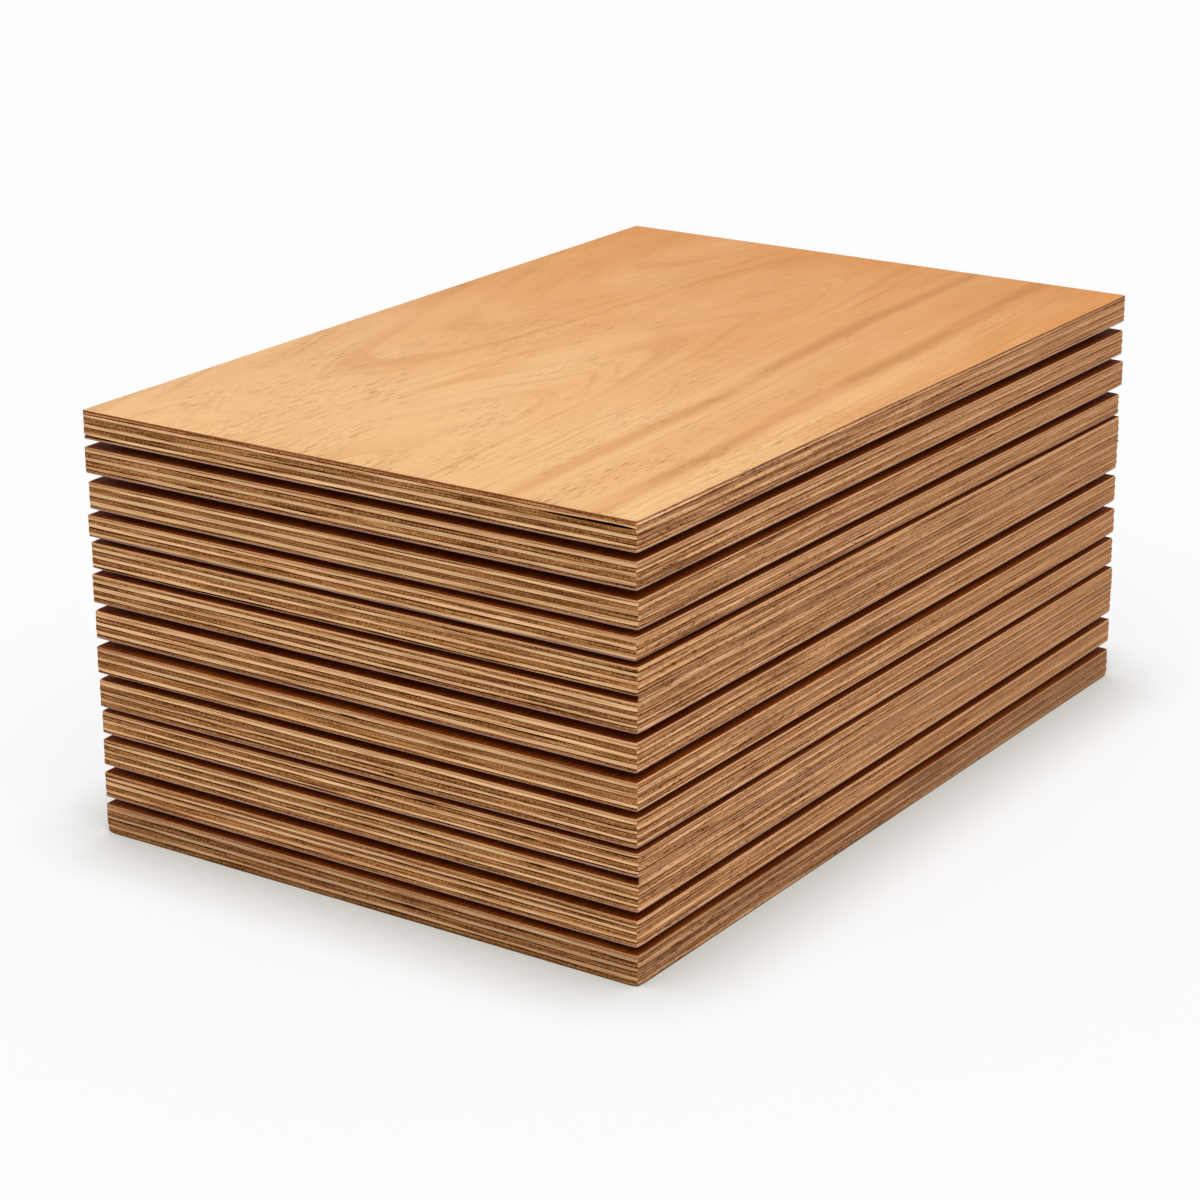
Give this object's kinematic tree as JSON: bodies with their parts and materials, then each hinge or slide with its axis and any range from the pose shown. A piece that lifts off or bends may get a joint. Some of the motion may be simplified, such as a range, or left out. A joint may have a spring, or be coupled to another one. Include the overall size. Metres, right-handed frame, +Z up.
{
  "type": "stack of plywood sheets",
  "caption": "Neat free-standing stack of loose cut plywood panels with bare cross-laminated edges, held slightly apart by thin spacer strips; raw sheet stock for building and joinery.",
  "frame": {"origin": "middle of the stack's footprint, on the floor under the bottom sheet", "axes": "+Z up, +Y along the sheets' length and face grain, +X across the sheets"},
  "size_m": [0.306, 0.4581, 0.2091],
  "materials": {
    "plywood": "sanded, unfinished",
    "spacer_wood": "sawn, unfinished"
  },
  "bodies": {
    "root": {"plywood_sheet_01": "plywood", "plywood_sheet_02": "plywood", "plywood_sheet_03": "plywood", "plywood_sheet_04": "plywood", "plywood_sheet_05": "plywood", "plywood_sheet_06": "plywood", "plywood_sheet_07": "plywood", "plywood_sheet_08": "plywood", "plywood_sheet_09": "plywood", "plywood_sheet_10": "plywood", "plywood_sheet_11": "plywood", "plywood_sheet_12": "plywood", "plywood_sheet_13": "plywood", "spacer_strips_01": "spacer_wood", "spacer_strips_02": "spacer_wood", "spacer_strips_03": "spacer_wood", "spacer_strips_04": "spacer_wood", "spacer_strips_05": "spacer_wood", "spacer_strips_06": "spacer_wood", "spacer_strips_07": "spacer_wood", "spacer_strips_08": "spacer_wood", "spacer_strips_09": "spacer_wood", "spacer_strips_10": "spacer_wood", "spacer_strips_11": "spacer_wood", "spacer_strips_12": "spacer_wood", "edge_strip_lower": "spacer_wood", "edge_strip_upper": "spacer_wood"}
  },
  "joints": []
}
